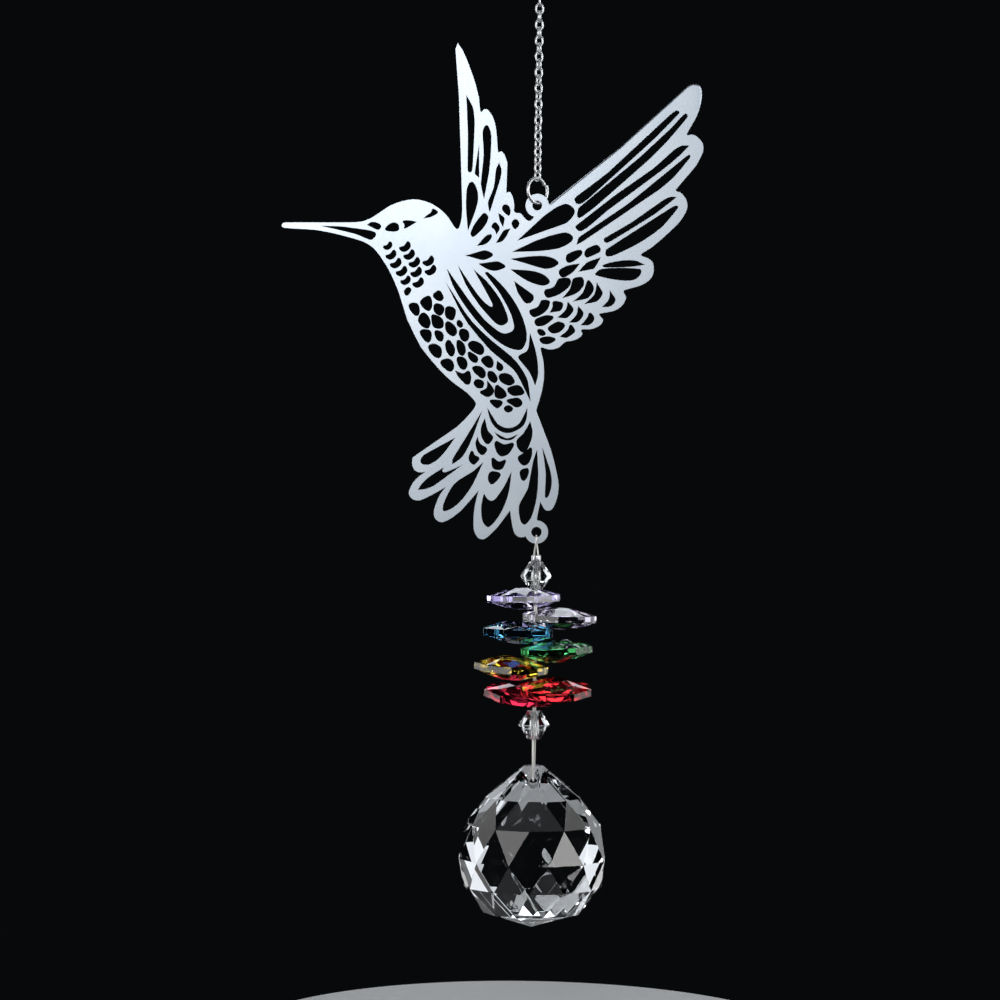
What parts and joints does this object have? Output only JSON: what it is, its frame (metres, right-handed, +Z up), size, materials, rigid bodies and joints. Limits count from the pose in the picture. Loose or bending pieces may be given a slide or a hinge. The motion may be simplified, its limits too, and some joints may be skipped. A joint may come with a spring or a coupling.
{
  "type": "crystal prism suncatcher",
  "caption": "Hanging suncatcher: an openwork steel hummingbird on a cable chain, with coloured cut-glass octagon beads strung above a clear faceted crystal ball",
  "frame": {"origin": "the inside top of the hanging ring, where a hook bears", "axes": "+Z up along the chain and the strand, -Y the front, which the bird's plate faces, +X to the right of someone who looks at the front"},
  "size_m": [0.0863, 0.0302, 0.2035],
  "materials": {
    "satin_steel": "stainless sheet, cut through and tumbled to a satin face",
    "polished_steel": "drawn stainless wire, bright",
    "bright_wire": "thin bright beading wire and its pressed crimp",
    "clear_crystal": "clear cut crystal, polished facets",
    "violet_glass": "violet cut glass, polished facets",
    "lavender_glass": "pale lavender cut glass, polished facets",
    "blue_glass": "blue cut glass, polished facets",
    "green_glass": "green cut glass, polished facets",
    "amber_glass": "amber cut glass, polished facets",
    "red_glass": "red cut glass, polished facets",
    "dark_red_glass": "dark red cut glass, polished facets"
  },
  "bodies": {
    "root": {"hanging_ring": "polished_steel", "chain_link_01": "polished_steel", "chain_link_02": "polished_steel", "chain_link_03": "polished_steel", "chain_link_04": "polished_steel", "chain_link_05": "polished_steel", "chain_link_06": "polished_steel", "chain_link_07": "polished_steel", "chain_link_08": "polished_steel", "chain_link_09": "polished_steel", "chain_link_10": "polished_steel", "chain_link_11": "polished_steel", "chain_link_12": "polished_steel", "chain_link_13": "polished_steel", "chain_link_14": "polished_steel", "chain_link_15": "polished_steel", "chain_link_16": "polished_steel", "chain_link_17": "polished_steel", "chain_link_18": "polished_steel", "chain_link_19": "polished_steel", "chain_link_20": "polished_steel", "chain_link_21": "polished_steel", "chain_link_22": "polished_steel", "chain_link_23": "polished_steel", "chain_link_24": "polished_steel", "chain_link_25": "polished_steel", "jump_ring": "polished_steel", "hummingbird_plate": "satin_steel", "beading_wire": "bright_wire", "crimp_bead": "bright_wire", "upper_clear_bead": "clear_crystal", "octagon_bead_violet": "violet_glass", "octagon_bead_lavender": "lavender_glass", "octagon_bead_blue": "blue_glass", "octagon_bead_green": "green_glass", "octagon_bead_amber": "amber_glass", "octagon_bead_red": "red_glass", "octagon_bead_dark_red": "dark_red_glass", "lower_clear_bead": "clear_crystal", "crystal_ball": "clear_crystal"}
  },
  "joints": []
}
